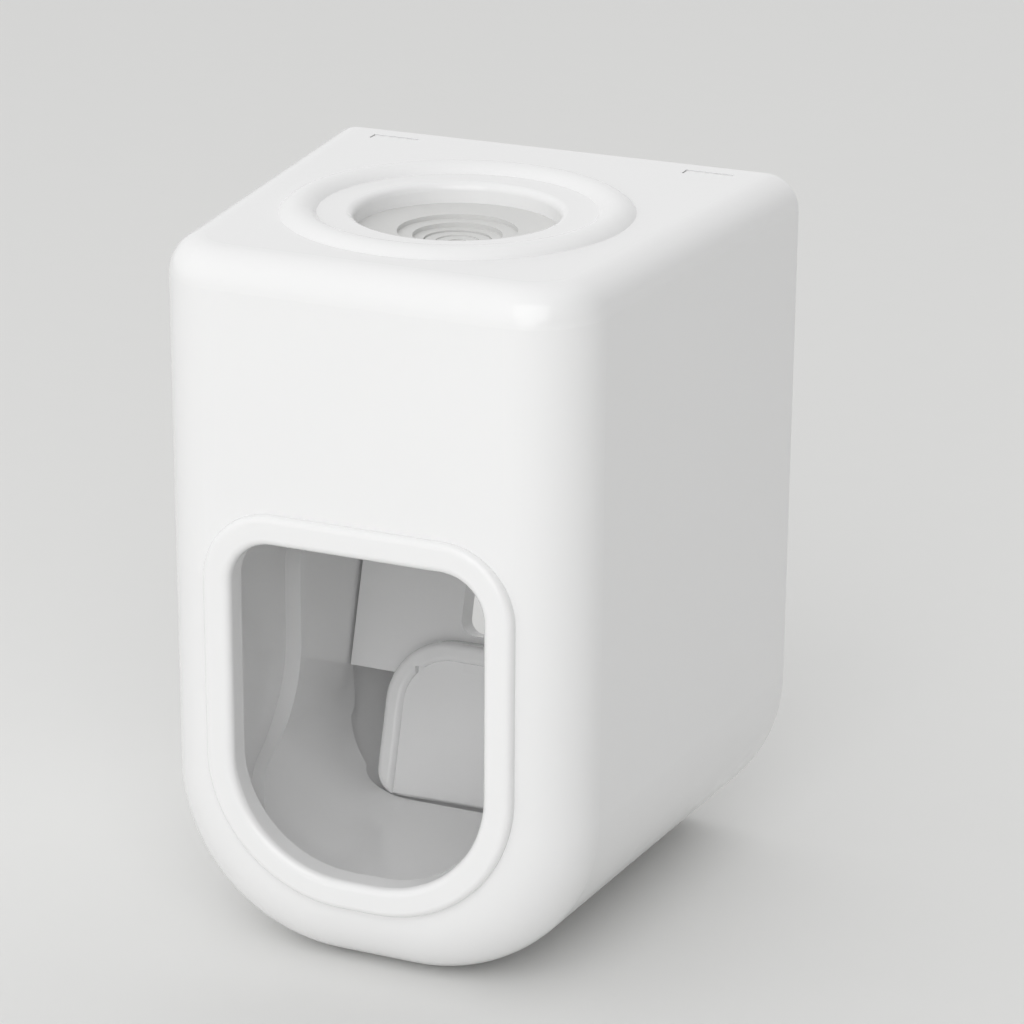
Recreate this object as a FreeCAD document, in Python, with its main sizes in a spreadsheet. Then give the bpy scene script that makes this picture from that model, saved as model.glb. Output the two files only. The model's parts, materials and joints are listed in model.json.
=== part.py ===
"""Wall toothpaste dispenser: a brush pushes the lever, the lever squeezes a pump sleeve.

Every piece is drawn in one working frame: x to the right, y = 0 on the back of the
housing with the front towards -y, and z = 0 under the housing. Each piece is then moved
to the part's own frame, whose origin is the middle of the pad's wall face.
"""
import FreeCAD, Part
import enum
import math
import os

import Sketcher

# Driving sizes, in millimetres and degrees

SIZES = {
    # Housing shell
    "housing_height": 82.0,
    "housing_depth": 55.4,
    "back_width": 59.4,
    "front_width": 49.0,
    "wall": 2.0,
    "bottom_round": 20.6,
    "front_round": 8.5,
    "top_round": 4.0,
    # Brush window and its raised rim
    "window_width": 30.0,
    "window_bottom": 12.0,
    "window_top": 50.3,
    "window_top_round": 5.0,
    "window_floor_half": 2.0,
    "rim_width": 3.4,
    "rim_height": 1.0,
    "rim_root": 0.6,
    "rim_outer_round": 0.8,
    "rim_inner_round": 0.9,
    # Tube mouth and bead ring on top
    "mouth_setback": 29.0,
    "mouth_radius": 11.4,
    "mouth_lip_round": 0.9,
    "mouth_collar_wall": 2.6,
    "mouth_collar_drop": 0.3,
    "ring_radius": 19.7,
    "ring_width": 4.2,
    "ring_height": 1.0,
    "ring_root": 0.5,
    # Snap slots in the top wall and the hooks that catch in them
    "snap_inset": 10.0,
    "snap_setback": 3.1,
    "slot_width": 5.8,
    "slot_depth": 1.7,
    "hook_gap": 0.12,
    "hook_thickness": 1.4,
    "hook_flush": 0.1,
    # Back plate
    "plate_thickness": 2.0,
    "plate_gap": 0.25,
    "opening_width": 28.0,
    "opening_bottom": 17.0,
    "opening_top": 35.0,
    "opening_round": 4.0,
    # Wall bracket, its rails and its pad
    "hang_drop": 26.0,
    "hanger_width": 35.0,
    "hanger_flare": 2.0,
    "hanger_length": 30.0,
    "hanger_thickness": 2.4,
    "hanger_gap": 0.3,
    "rail_width": 3.6,
    "rail_depth": 2.4,
    "stop_length": 3.0,
    "stop_gap": 0.05,
    "pad_inset": 1.2,
    "pad_round": 3.0,
    "pad_thickness": 0.8,
    # Brush chute
    "chute_inset": 9.9,
    "chute_thickness": 2.0,
    "chute_round": 13.0,
    "skin_rise": 1.6,
    "chute_top_gap": 0.5,
    "chute_top_round": 6.0,
    "cheek_front": 29.3,
    "chute_front": 44.9,
    "notch_front": 15.4,
    "notch_top": 20.4,
    "notch_bend_low": 9.2,
    "notch_bend_high": 14.0,
    "notch_round": 2.5,
    "toe_lap": 0.5,
    "liner_thickness": 1.0,
    "liner_round": 17.4,
    "liner_wall_gap": 0.77,
    "liner_floor_gap": 0.4,
    "liner_front": 44.0,
    "liner_rise": 6.0,
    "tab_height": 7.0,
    "tab_thickness": 2.0,
    "stop_rib_drop": 11.0,
    "stop_rib_height": 5.5,
    "stop_rib_reach": 2.5,
    "stop_rib_thickness": 2.0,
    "stop_rib_gap": 0.3,
    # Screws and the bosses that take them
    "boss_radius": 2.6,
    "boss_length": 10.0,
    "boss_side": 2.1,
    "boss_gap": 0.3,
    "boss_drop": 13.0,
    "screw_radius": 1.0,
    "screw_length": 7.0,
    "collar_screw_tip_gap": 0.3,
    "screw_gap": 0.2,
    "head_radius": 2.0,
    "head_height": 1.1,
    "recess_extra": 0.1,
    "cross_width": 0.5,
    "cross_depth": 0.6,
    # Pump stack, from the mouth down
    "seal_radius": 14.2,
    "seal_thickness": 2.2,
    "seal_step": 0.5,
    "seal_outer_step": 6.7,
    "seal_inner_step": 5.0,
    "seal_bore": 3.8,
    "collar_radius": 20.2,
    "collar_thickness": 2.0,
    "collar_screw_circle": 17.0,
    "spigot_radius": 6.0,
    "spigot_wall": 1.2,
    "inlet_spigot_length": 6.2,
    "valve_flange_radius": 6.6,
    "valve_flange": 1.0,
    "valve_gap": 0.3,
    "valve_length": 5.2,
    "valve_skin": 0.8,
    "valve_tip_radius": 1.6,
    "slit_width": 0.3,
    "sleeve_skin": 1.6,
    "sleeve_end_gap": 0.3,
    "clamp_skin": 0.8,
    "clamp_height": 2.4,
    "clamp_inset": 0.6,
    "nozzle_flange_radius": 7.8,
    "nozzle_flange": 2.0,
    "nozzle_spigot_length": 4.5,
    "outlet_radius": 4.2,
    "outlet_wall": 1.2,
    "outlet_drop": 1.5,
    "outlet_valve_thickness": 1.0,
    "cap_wall": 1.2,
    "cap_floor": 1.0,
    "cap_hole": 2.4,
    "cap_gap": 0.3,
    # Pump bracket
    "shelf_drop": 34.0,
    "shelf_thickness": 2.0,
    "shelf_half_width": 16.0,
    "arm_inner": 12.6,
    "anvil_half_width": 7.5,
    "anvil_gap": 0.3,
    "anvil_thickness": 2.2,
    "anvil_height": 18.0,
    "flange_drop": 5.4,
    "flange_rise": 13.0,
    "flange_thickness": 2.0,
    "ear_radius": 4.2,
    "ear_thickness": 2.4,
    "flange_boss_length": 4.5,
    "flange_boss_radius": 2.2,
    "upper_screw_half_spread": 10.0,
    "upper_screw_rise": 9.5,
    "lower_screw_half_spread": 13.6,
    "lower_screw_rise": 2.6,
    # Lever
    "pivot_setback": 14.0,
    "pivot_drop": 35.0,
    "pin_radius": 1.5,
    "pin_overhang": 0.3,
    "pin_running_gap": 0.06,
    "hub_radius": 3.2,
    "hub_side_gap": 0.3,
    "lever_tilt": 16.7,
    "lever_side_gap": 0.35,
    "lever_floor_gap": 0.35,
    "lever_offset": 6.2,
    "lever_thickness": 2.0,
    "lever_top": 6.5,
    "web_thickness": 2.6,
    "panel_height": 1.2,
    "lever_hole_width": 11.6,
    "lever_hole_round": 1.8,
    "push_pad_inset": 6.5,
    "push_pad_margin": 0.6,
    "push_pad_height": 4.2,
    "push_pad_round": 8.0,
    "push_pad_low_round": 3.0,
    "push_pad_edge_round": 0.8,
    "tray_rim": 2.3,
    "tray_depth": 1.2,
    "dish_inset": 1.2,
    "dish_depth": 0.9,
    "bar_thickness": 3.2,
    "bar_width": 10.0,
    "nose_radius": 2.4,
    "nose_gap": 0.3,
    "nose_drop": 20.4,
    # Return spring between the back plate and the lever
    "spring_height": 10.5,
    "spring_radius": 4.0,
    "spring_wire": 0.7,
    "spring_seat_gap": 0.35,
    "seat_height": 1.2,
    "seat_radius": 3.2,
    # One overrun for all through cuts
    "overrun": 5.0,
}
SPRING_TURNS = 4
ARCS_PER_TURN = 4

# Shares of a length

CROSS_REACH_SHARE = 0.6
SLIT_REACH_SHARE = 0.8
HOLE_TOP_SHARE = 0.247
HOLE_BOTTOM_SHARE = 0.507
PAD_TOP_SHARE = 0.527
PANEL_BOTTOM_SHARE = 0.65
SWEEP_TOP_SHARE = 0.617
FRONT_SHARES = (0.0, -1.0)
BACK_RIGHT_SHARES = (math.sqrt(3) / 2, 0.5)
BACK_LEFT_SHARES = (-math.sqrt(3) / 2, 0.5)

# Tolerances for telling places apart

SAME_POINT = 1e-6
SAME_LENGTH = 1e-4

doc = FreeCAD.newDocument("toothpaste_dispenser")
sheet = doc.addObject("Spreadsheet::Sheet", "Sizes")
for row, (alias, value) in enumerate(SIZES.items(), start=1):
    sheet.set(f"A{row}", alias)
    sheet.set(f"B{row}", str(value))
    sheet.setAlias(f"B{row}", alias)
doc.recompute()


class Size:
    """A length that keeps its number together with its formula on the sheet."""

    def __init__(self, value, text):
        self.value = float(value)
        self.text = text

    def __add__(self, other):
        other = sized(other)
        return Size(self.value + other.value, f"({self.text} + {other.text})")

    def __sub__(self, other):
        other = sized(other)
        return Size(self.value - other.value, f"({self.text} - {other.text})")

    def __mul__(self, other):
        other = sized(other)
        return Size(self.value * other.value, f"({self.text} * {other.text})")

    def __truediv__(self, other):
        other = sized(other)
        return Size(self.value / other.value, f"({self.text} / {other.text})")

    def __neg__(self):
        return Size(-self.value, f"(-1 * {self.text})")


def sized(thing):
    """A plain number as a Size, and a Size as it is."""
    if isinstance(thing, Size):
        return thing
    return Size(thing, repr(float(thing)))


def root(size):
    """The square root of a size."""
    return Size(math.sqrt(size.value), f"sqrt({size.text})")


def smaller(one, other):
    """The smaller of two sizes."""
    return Size(min(one.value, other.value), f"min({one.text}; {other.text})")


def sine(angle):
    """The sine of an angle in degrees."""
    return Size(math.sin(math.radians(angle.value)), f"sin({angle.text} * 1 deg)")


def cosine(angle):
    """The cosine of an angle in degrees."""
    return Size(math.cos(math.radians(angle.value)), f"cos({angle.text} * 1 deg)")


class SheetSizes:
    """The sheet's cells by name, each as a Size."""

    def __getattr__(self, alias):
        return Size(getattr(sheet, alias), f"{sheet.Name}.{alias}")


s = SheetSizes()
ZERO = sized(0)

# Places that several pieces share

half_back = s.back_width / 2
half_front = s.front_width / 2
side_slope = (half_back - half_front) / s.housing_depth
inner_back = half_back - s.wall
top_underside = s.housing_height - s.wall
half_window = s.window_width / 2
window_bottom_round = half_window - s.window_floor_half
snap_x = half_back - s.snap_inset
hang_height = s.housing_height - s.hang_drop
shelf_height = s.housing_height - s.shelf_drop
pivot_height = s.housing_height - s.pivot_drop
boss_height = pivot_height - s.boss_drop
plate_inner = s.plate_thickness

seal_top = top_underside - s.mouth_collar_drop
seal_bottom = seal_top - s.seal_thickness
collar_bottom = seal_bottom - s.collar_thickness
collar_screw_length = top_underside - collar_bottom - s.collar_screw_tip_gap
inlet_spigot_end = collar_bottom - s.inlet_spigot_length
sleeve_radius = s.spigot_radius + s.sleeve_skin
sleeve_top = collar_bottom - s.sleeve_end_gap
shelf_underside = shelf_height - s.shelf_thickness
nozzle_flange_top = shelf_height + s.nozzle_flange
sleeve_bottom = nozzle_flange_top + s.sleeve_end_gap
outlet_end = shelf_underside - s.outlet_drop
outlet_valve_bottom = outlet_end - s.outlet_valve_thickness

room_between_bosses = half_back - s.chute_inset
room_at_front = (
    half_back - side_slope * s.liner_front - s.wall - s.liner_wall_gap
    - s.liner_thickness - s.chute_thickness
)
chute_half = smaller(room_between_bosses, room_at_front)
chute_outer = chute_half + s.chute_thickness
liner_outer = chute_outer + s.liner_thickness
liner_bottom = s.wall + s.liner_floor_gap
liner_floor = liner_bottom + s.liner_thickness
skin_bottom = liner_floor + s.skin_rise
chute_floor = skin_bottom + s.chute_thickness
chute_top = pivot_height - s.ear_radius - s.chute_top_gap
boss_x = liner_outer + s.boss_side

lever_half = chute_half - s.lever_side_gap
lever_back = s.lever_offset + s.lever_thickness
push_pad_face = s.lever_offset - s.push_pad_height
toe_height = chute_floor + s.lever_floor_gap
toe_drop = pivot_height - toe_height - push_pad_face * sine(s.lever_tilt)
lever_bottom = toe_drop / cosine(s.lever_tilt)
toe_reach = lever_bottom * sine(s.lever_tilt) - push_pad_face * cosine(s.lever_tilt)
toe_setback = s.pivot_setback + toe_reach
hub_half = s.arm_inner - s.hub_side_gap
panel_bottom = lever_bottom * PANEL_BOTTOM_SHARE
push_pad_top = lever_bottom * PAD_TOP_SHARE
push_pad_half = chute_half - s.push_pad_inset

hanger_half = s.hanger_width / 2
hanger_bottom = hang_height - s.hanger_length / 2
hanger_top = hang_height + s.hanger_length / 2
wall_face = s.hanger_gap + s.hanger_thickness + s.pad_thickness


class Spot(enum.IntEnum):
    """The sketcher's own numbers for the points of a curve."""

    START = enum.auto()
    END = enum.auto()
    CENTRE = enum.auto()


# The sketcher counts its own two axes backwards, and both start at its origin
LEVEL_AXIS = -Spot.START
UPRIGHT_AXIS = -Spot.END


# Drawing helpers


def bind(thing, path, size):
    """Tie one property of a feature to its formula on the sheet."""
    thing.setExpression(path, sized(size).text)


def new_body(label):
    """An empty body, moved from the working frame to the part's frame."""
    body = doc.addObject("PartDesign::Body", label)
    body.Label = label
    body.AllowCompound = True
    place(body)
    return body


def place(piece):
    """Put the frame's origin on the middle of the pad's wall face."""
    bind(piece, "Placement.Base.y", -wall_face)
    bind(piece, "Placement.Base.z", -hang_height)


def own_plane(body, role):
    """One of the body's own origin planes or axes."""
    return next(item for item in body.Origin.OriginFeatures if item.Role == role)


def sketch_on(body, name, role, rise=ZERO):
    """A sketch on a plane of the body, moved along the plane's normal."""
    sketch = body.newObject("Sketcher::SketchObject", name)
    sketch.AttachmentSupport = (own_plane(body, role), [""])
    sketch.MapMode = "FlatFace"
    bind(sketch, "AttachmentOffset.Base.z", rise)
    return sketch


def hold_point(sketch, item, end, x, y):
    """Tie a point of the sketch to its two formulas."""
    for kind, axis, size in (("DistanceX", UPRIGHT_AXIS, x), ("DistanceY", LEVEL_AXIS, y)):
        size = sized(size)
        if size.value == 0:
            sketch.addConstraint(Sketcher.Constraint("PointOnObject", item, end, axis))
            continue
        rule = Sketcher.Constraint(kind, LEVEL_AXIS, Spot.START, item, end, size.value)
        number = sketch.addConstraint(rule)
        sketch.setExpression(f"Constraints[{number}]", size.text)


def hold_radius(sketch, item, radius):
    """Tie the radius of a circle or an arc to its formula."""
    number = sketch.addConstraint(Sketcher.Constraint("Radius", item, radius.value))
    sketch.setExpression(f"Constraints[{number}]", radius.text)


def circle(sketch, x, y, radius):
    """A circle held at its centre."""
    centre = FreeCAD.Vector(sized(x).value, sized(y).value, 0)
    shape = Part.Circle(centre, FreeCAD.Vector(0, 0, 1), radius.value)
    item = sketch.addGeometry(shape, False)
    hold_point(sketch, item, Spot.CENTRE, x, y)
    hold_radius(sketch, item, radius)


def flat(point):
    """A drawn point as a vector."""
    return FreeCAD.Vector(sized(point[0]).value, sized(point[1]).value, 0)


def toward(corner, other, distance):
    """A point on the level or upright line from a corner towards another one."""
    step = flat(other) - flat(corner)
    if abs(step.y) < abs(step.x):
        return (sized(corner[0]) + distance * math.copysign(1, step.x), corner[1])
    return (corner[0], sized(corner[1]) + distance * math.copysign(1, step.y))


def arc_middle(start, end, radius, left):
    """The middle of the arc that leaves the chord on its left or right side."""
    chord = end - start
    half = chord.Length / 2
    side = FreeCAD.Vector(-chord.y, chord.x, 0).normalize()
    bulge = radius - math.sqrt(max(radius * radius - half * half, 0))
    return (start + end) / 2 + side * (bulge if left else -bulge)


def path(sketch, steps):
    """A closed run of lines and arcs.

    Each step is a start point and, for an arc to the next point, a radius and the side
    of the chord that it bulges to.
    """
    items = []
    for place_now, step in enumerate(steps):
        following = steps[(place_now + 1) % len(steps)]
        start = flat(step[0])
        end = flat(following[0])
        if len(step) == 1:
            shape = Part.LineSegment(start, end)
        else:
            shape = Part.Arc(start, arc_middle(start, end, step[1].value, step[2]), end)
        item = sketch.addGeometry(shape, False)
        offset = (sketch.getPoint(item, Spot.START) - start).Length
        first = Spot.START if offset < SAME_POINT else Spot.END
        items.append((item, first, Spot.START + Spot.END - first))
    for place_now, step in enumerate(steps):
        item, first, last = items[place_now]
        following, following_first, _ = items[(place_now + 1) % len(steps)]
        hold_point(sketch, item, first, *step[0])
        rule = Sketcher.Constraint("Coincident", item, last, following, following_first)
        sketch.addConstraint(rule)
        if len(step) > 1:
            hold_radius(sketch, item, step[1])


def outline(sketch, corners):
    """A closed outline; a corner with a third value is rounded by that radius."""
    steps = []
    centre = sum((flat(corner) for corner in corners), FreeCAD.Vector()) / len(corners)
    for number, corner in enumerate(corners):
        if len(corner) == 2:
            steps.append((corner,))
            continue
        before = toward(corner, corners[number - 1], corner[2])
        after = toward(corner, corners[(number + 1) % len(corners)], corner[2])
        chord = flat(after) - flat(before)
        outward = flat(corner) - flat(before)
        steps.append((before, corner[2], chord.cross(outward).z > 0))
        steps.append((after,))
    path(sketch, steps)


def box_corners(left, right, low, high, lower_round=None, upper_round=None):
    """The four corners of a rectangle, the lower and upper pair rounded if asked."""
    lower = () if lower_round is None else (lower_round,)
    upper = () if upper_round is None else (upper_round,)
    return [
        (left, low, *lower),
        (right, low, *lower),
        (right, high, *upper),
        (left, high, *upper),
    ]


def extrude(body, kind, sketch, length, reverse=False, both_ways=False):
    """A pad or a pocket of a sketch; a cut has to take some of the solid away."""
    before = body.Shape.Volume if kind == "Pocket" else 0
    feature = body.newObject(f"PartDesign::{kind}", f"{sketch.Label}_{kind.lower()}")
    feature.Profile = sketch
    feature.Refine = True
    bind(feature, "Length", length)
    feature.Reversed = reverse
    if both_ways:
        feature.SideType = "Symmetric"
    doc.recompute()
    if kind == "Pocket" and body.Shape.Volume >= before:
        raise RuntimeError(f"{body.Label}: {sketch.Label} cuts nothing")
    return feature


def pad(body, sketch, length, **ways):
    """Add the sketch's shape to the body."""
    return extrude(body, "Pad", sketch, length, **ways)


def pocket(body, sketch, length, **ways):
    """Cut the sketch's shape out of the body."""
    return extrude(body, "Pocket", sketch, length, **ways)


def revolve(body, sketch):
    """Turn the sketch about its own upright axis."""
    feature = body.newObject("PartDesign::Revolution", f"{sketch.Label}_turned")
    feature.Profile = sketch
    feature.ReferenceAxis = (sketch, ["V_Axis"])
    feature.Angle = 360
    doc.recompute()
    return feature


def near(a, b):
    """Whether two lengths agree."""
    return abs(a - b) < SAME_LENGTH


def edges_where(body, rule):
    """The names of the tip's edges whose middle point follows a rule."""
    names = []
    for number, edge in enumerate(body.Tip.Shape.Edges, start=1):
        first, last = edge.ParameterRange
        if rule(edge.valueAt((first + last) / 2)):
            names.append(f"Edge{number}")
    return names


def rim_edges(body, y, inner):
    """The names of the outer or inner edges of the flat face at one depth."""
    shape = body.Tip.Shape
    face = next(
        face for face in shape.Faces
        if near(face.BoundBox.YMin, y) and near(face.BoundBox.YMax, y)
    )
    wires = [wire for wire in face.Wires if wire.isSame(face.OuterWire) != inner]
    wanted = [edge for wire in wires for edge in wire.Edges]
    return [
        f"Edge{number}"
        for number, edge in enumerate(shape.Edges, start=1)
        if any(edge.isSame(other) for other in wanted)
    ]


def round_edges(body, name, radius, names):
    """Round the named edges."""
    if not names:
        raise RuntimeError(f"{body.Label}: no edge for {name}")
    base = body.Tip
    feature = body.newObject("PartDesign::Fillet", name)
    feature.Base = (base, names)
    bind(feature, "Radius", radius)
    doc.recompute()
    return feature


def mouth_point(shares):
    """A point on the collar's screw circle, by its shares of that circle."""
    x = s.collar_screw_circle * shares[0]
    y = s.collar_screw_circle * shares[1] - s.mouth_setback
    return x, y


def collar_screw_places():
    """The three screw places round the mouth."""
    return [mouth_point(shares) for shares in (FRONT_SHARES, BACK_RIGHT_SHARES, BACK_LEFT_SHARES)]


def flange_screw_places():
    """The four screw places of the pump bracket, as x and z."""
    places = []
    for spread, rise in (
        (s.upper_screw_half_spread, s.upper_screw_rise),
        (s.lower_screw_half_spread, s.lower_screw_rise),
    ):
        places.append((spread, shelf_height + rise))
        places.append((-spread, shelf_height + rise))
    return places


def plate_screw_places():
    """The two screw places that hold plate, chute and housing together."""
    return [(boss_x, boss_height), (-boss_x, boss_height)]


def circles(sketch, places, radius):
    """The same circle at several places."""
    for x, y in places:
        circle(sketch, x, y, radius)


# Housing


def make_housing():
    """The shell with its window, bead ring, mouth, snap slots and bosses."""
    body = new_body("housing")
    depth = s.housing_depth
    height = s.housing_height

    plan = sketch_on(body, "housing_plan", "XY_Plane")
    outline(plan, [
        (-half_back, ZERO),
        (-half_front, -depth),
        (half_front, -depth),
        (half_back, ZERO),
    ])
    pad(body, plan, height)
    round_edges(
        body, "housing_bottom_corners", s.bottom_round,
        edges_where(
            body,
            lambda p: near(p.z, 0) and not near(p.y, 0) and not near(p.y, -depth.value),
        ),
    )
    round_edges(
        body, "housing_front_edge", s.front_round,
        edges_where(body, lambda p: near(p.y, -depth.value) and not near(p.z, height.value)),
    )
    round_edges(
        body, "housing_top_edge", s.top_round,
        edges_where(body, lambda p: near(p.z, height.value) and not near(p.y, 0)),
    )
    hollow_out(body)
    add_window(body)
    add_mouth(body)
    add_housing_bosses(body)
    return body


def hollow_out(body):
    """Leave a wall of even thickness, open at the back."""
    base = body.Tip
    back_faces = [
        f"Face{number}"
        for number, face in enumerate(base.Shape.Faces, start=1)
        if near(face.BoundBox.YMin, 0) and near(face.BoundBox.YMax, 0)
    ]
    shell = body.newObject("PartDesign::Thickness", "housing_wall")
    shell.Base = (base, back_faces)
    shell.Reversed = True
    bind(shell, "Value", s.wall)
    doc.recompute()


def add_window(body):
    """The brush window in the front wall, with its raised, rounded rim."""
    depth = s.housing_depth
    rim_half = half_window + s.rim_width
    rim_sketch = sketch_on(body, "window_rim", "XZ_Plane", depth - s.rim_root)
    outline(rim_sketch, box_corners(
        -rim_half, rim_half,
        s.window_bottom - s.rim_width, s.window_top + s.rim_width,
        window_bottom_round + s.rim_width, s.window_top_round + s.rim_width,
    ))
    pad(body, rim_sketch, s.rim_root + s.rim_height)

    window_sketch = sketch_on(body, "window", "XZ_Plane", depth)
    outline(window_sketch, box_corners(
        -half_window, half_window, s.window_bottom, s.window_top,
        window_bottom_round, s.window_top_round,
    ))
    pocket(body, window_sketch, (s.wall + s.overrun) * 2, both_ways=True)

    rim_face = -(depth + s.rim_height).value
    round_edges(body, "rim_inner_edge", s.rim_inner_round, rim_edges(body, rim_face, True))
    round_edges(body, "rim_outer_edge", s.rim_outer_round, rim_edges(body, rim_face, False))


def add_mouth(body):
    """The bead ring, the tube mouth with its collar, and the snap slots."""
    height = s.housing_height
    axis_y = -s.mouth_setback
    ring_inner = s.ring_radius - s.ring_width
    ring_sketch = sketch_on(body, "bead_ring", "XZ_Plane", s.mouth_setback)
    half_ring = s.ring_width / 2
    bead_radius = (half_ring * half_ring + s.ring_height * s.ring_height) / (s.ring_height * 2)
    path(ring_sketch, [
        ((ring_inner, height - s.ring_root),),
        ((s.ring_radius, height - s.ring_root),),
        ((s.ring_radius, height), bead_radius, False),
        ((ring_inner, height),),
    ])
    revolve(body, ring_sketch)

    collar_sketch = sketch_on(body, "mouth_collar", "XY_Plane", seal_top)
    circle(collar_sketch, ZERO, axis_y, s.mouth_radius + s.mouth_collar_wall)
    pad(body, collar_sketch, s.mouth_collar_drop + s.wall / 2)

    mouth_sketch = sketch_on(body, "mouth", "XY_Plane", height)
    circle(mouth_sketch, ZERO, axis_y, s.mouth_radius)
    pocket(body, mouth_sketch, s.wall + s.mouth_collar_drop + s.overrun)
    round_edges(
        body, "mouth_lip", s.mouth_lip_round,
        edges_where(
            body,
            lambda p: near(p.z, height.value)
            and near(math.hypot(p.x, p.y - axis_y.value), s.mouth_radius.value),
        ),
    )

    slot_sketch = sketch_on(body, "snap_slots", "XY_Plane", height)
    for side in (1, -1):
        middle = snap_x * side
        outline(slot_sketch, box_corners(
            middle - s.slot_width / 2, middle + s.slot_width / 2,
            -s.snap_setback - s.slot_depth / 2, -s.snap_setback + s.slot_depth / 2,
        ))
    pocket(body, slot_sketch, s.wall + s.overrun)


def add_housing_bosses(body):
    """Screw bosses on the side walls and under the top wall."""
    boss_back = plate_inner + s.tab_thickness
    boss_sketch = sketch_on(body, "side_bosses", "XZ_Plane", boss_back)
    circles(boss_sketch, plate_screw_places(), s.boss_radius)
    pad(body, boss_sketch, s.boss_length)

    web_sketch = sketch_on(body, "side_boss_webs", "XZ_Plane", boss_back)
    web_end = half_back - s.wall / 2 - side_slope * (boss_back + s.boss_length)
    for side in (1, -1):
        edge = boss_x * side
        far = web_end * side
        outline(web_sketch, box_corners(
            edge, far, boss_height - s.boss_radius / 2, boss_height + s.boss_radius / 2,
        ))
    pad(body, web_sketch, s.boss_length)

    hole_sketch = sketch_on(body, "side_boss_holes", "XZ_Plane", boss_back)
    circles(hole_sketch, plate_screw_places(), s.screw_radius)
    pocket(body, hole_sketch, s.boss_length - s.wall, reverse=True)

    top_sketch = sketch_on(body, "top_bosses", "XY_Plane", seal_bottom)
    circles(top_sketch, collar_screw_places(), s.boss_radius)
    pad(body, top_sketch, top_underside - seal_bottom + s.wall / 2)
    top_hole_sketch = sketch_on(body, "top_boss_holes", "XY_Plane", seal_bottom)
    circles(top_hole_sketch, collar_screw_places(), s.screw_radius)
    pocket(body, top_hole_sketch, top_underside - seal_bottom, reverse=True)


# Back plate, wall bracket and pad


def make_back_plate():
    """The plate that closes the back, with its hooks, rails and see-through opening."""
    body = new_body("back_plate")
    half = inner_back - s.plate_gap
    low = s.wall + s.plate_gap
    high = top_underside - s.plate_gap
    sketch = sketch_on(body, "plate_outline", "XZ_Plane")
    outline(sketch, box_corners(
        -half, half, low, high,
        s.bottom_round - s.wall - s.plate_gap, s.top_round - s.wall,
    ))
    pad(body, sketch, s.plate_thickness)

    opening = sketch_on(body, "plate_opening", "XZ_Plane")
    outline(opening, box_corners(
        -s.opening_width / 2, s.opening_width / 2, s.opening_bottom, s.opening_top,
        s.opening_round, s.opening_round,
    ))
    pocket(body, opening, (s.plate_thickness + s.overrun) * 2, both_ways=True)

    add_hooks(body)
    add_rails(body)

    seat = sketch_on(body, "spring_seat", "XZ_Plane", plate_inner)
    circle(seat, ZERO, s.spring_height, s.seat_radius)
    pad(body, seat, s.seat_height)

    places = plate_screw_places() + flange_screw_places()
    holes = sketch_on(body, "plate_screw_holes", "XZ_Plane")
    circles(holes, places, s.screw_radius + s.screw_gap)
    pocket(body, holes, (s.plate_thickness + s.overrun) * 2, both_ways=True)
    recesses = sketch_on(body, "plate_screw_recesses", "XZ_Plane")
    circles(recesses, places, s.head_radius + s.screw_gap)
    pocket(body, recesses, s.head_height + s.recess_extra, reverse=True)
    return body


def add_hooks(body):
    """Two snap hooks that reach under the top wall and catch in its slots."""
    hook_top = top_underside - s.hook_gap
    tip_half_depth = s.slot_depth / 2 - s.hook_gap
    tip_front = s.snap_setback + tip_half_depth
    hook_half = s.slot_width / 2 - s.hook_gap
    arms = sketch_on(body, "hook_arms", "XZ_Plane", plate_inner / 2)
    tips = sketch_on(body, "hook_tips", "XZ_Plane", s.snap_setback - tip_half_depth)
    for side in (1, -1):
        middle = snap_x * side
        outline(arms, box_corners(
            middle - hook_half, middle + hook_half, hook_top - s.hook_thickness, hook_top,
        ))
        outline(tips, box_corners(
            middle - hook_half, middle + hook_half,
            hook_top - s.hook_thickness / 2, s.housing_height - s.hook_flush,
        ))
    pad(body, arms, tip_front - plate_inner / 2)
    pad(body, tips, tip_half_depth * 2)


def add_rails(body):
    """Dovetail rails for the wall bracket, closed above by a stop."""
    mouth = hanger_half + s.hanger_gap
    throat = mouth - s.hanger_flare
    outer = mouth + s.rail_width
    stop_bottom = hanger_top + s.stop_gap
    stop_top = stop_bottom + s.stop_length
    rails = sketch_on(body, "rails", "XY_Plane", hanger_bottom)
    for side in (1, -1):
        outline(rails, [
            (mouth * side, -s.plate_thickness / 2),
            (outer * side, -s.plate_thickness / 2),
            (outer * side, s.rail_depth),
            (throat * side, s.rail_depth),
            (mouth * side, ZERO),
        ])
    pad(body, rails, stop_top - hanger_bottom)
    stop = sketch_on(body, "rail_stop", "XZ_Plane", s.plate_thickness / 2)
    outline(stop, box_corners(-outer, outer, stop_bottom, stop_top))
    pad(body, stop, s.rail_depth + s.plate_thickness / 2, reverse=True)


def make_wall_bracket():
    """The dovetail plate that stays on the wall."""
    body = new_body("wall_bracket")
    back = s.hanger_gap + s.hanger_thickness
    throat = hanger_half - s.hanger_flare
    sketch = sketch_on(body, "bracket_section", "XY_Plane", hanger_bottom)
    outline(sketch, [
        (-hanger_half, s.hanger_gap),
        (hanger_half, s.hanger_gap),
        (throat, back),
        (-throat, back),
    ])
    pad(body, sketch, s.hanger_length)
    return body


def make_adhesive_pad():
    """The pad between the wall bracket and the wall."""
    body = new_body("adhesive_pad")
    half = hanger_half - s.hanger_flare - s.pad_inset
    sketch = sketch_on(body, "pad_outline", "XZ_Plane", -wall_face)
    outline(sketch, box_corners(
        -half, half, hanger_bottom + s.pad_inset, hanger_top - s.pad_inset,
        s.pad_round, s.pad_round,
    ))
    pad(body, sketch, s.pad_thickness)
    return body


# Brush chute


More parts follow.
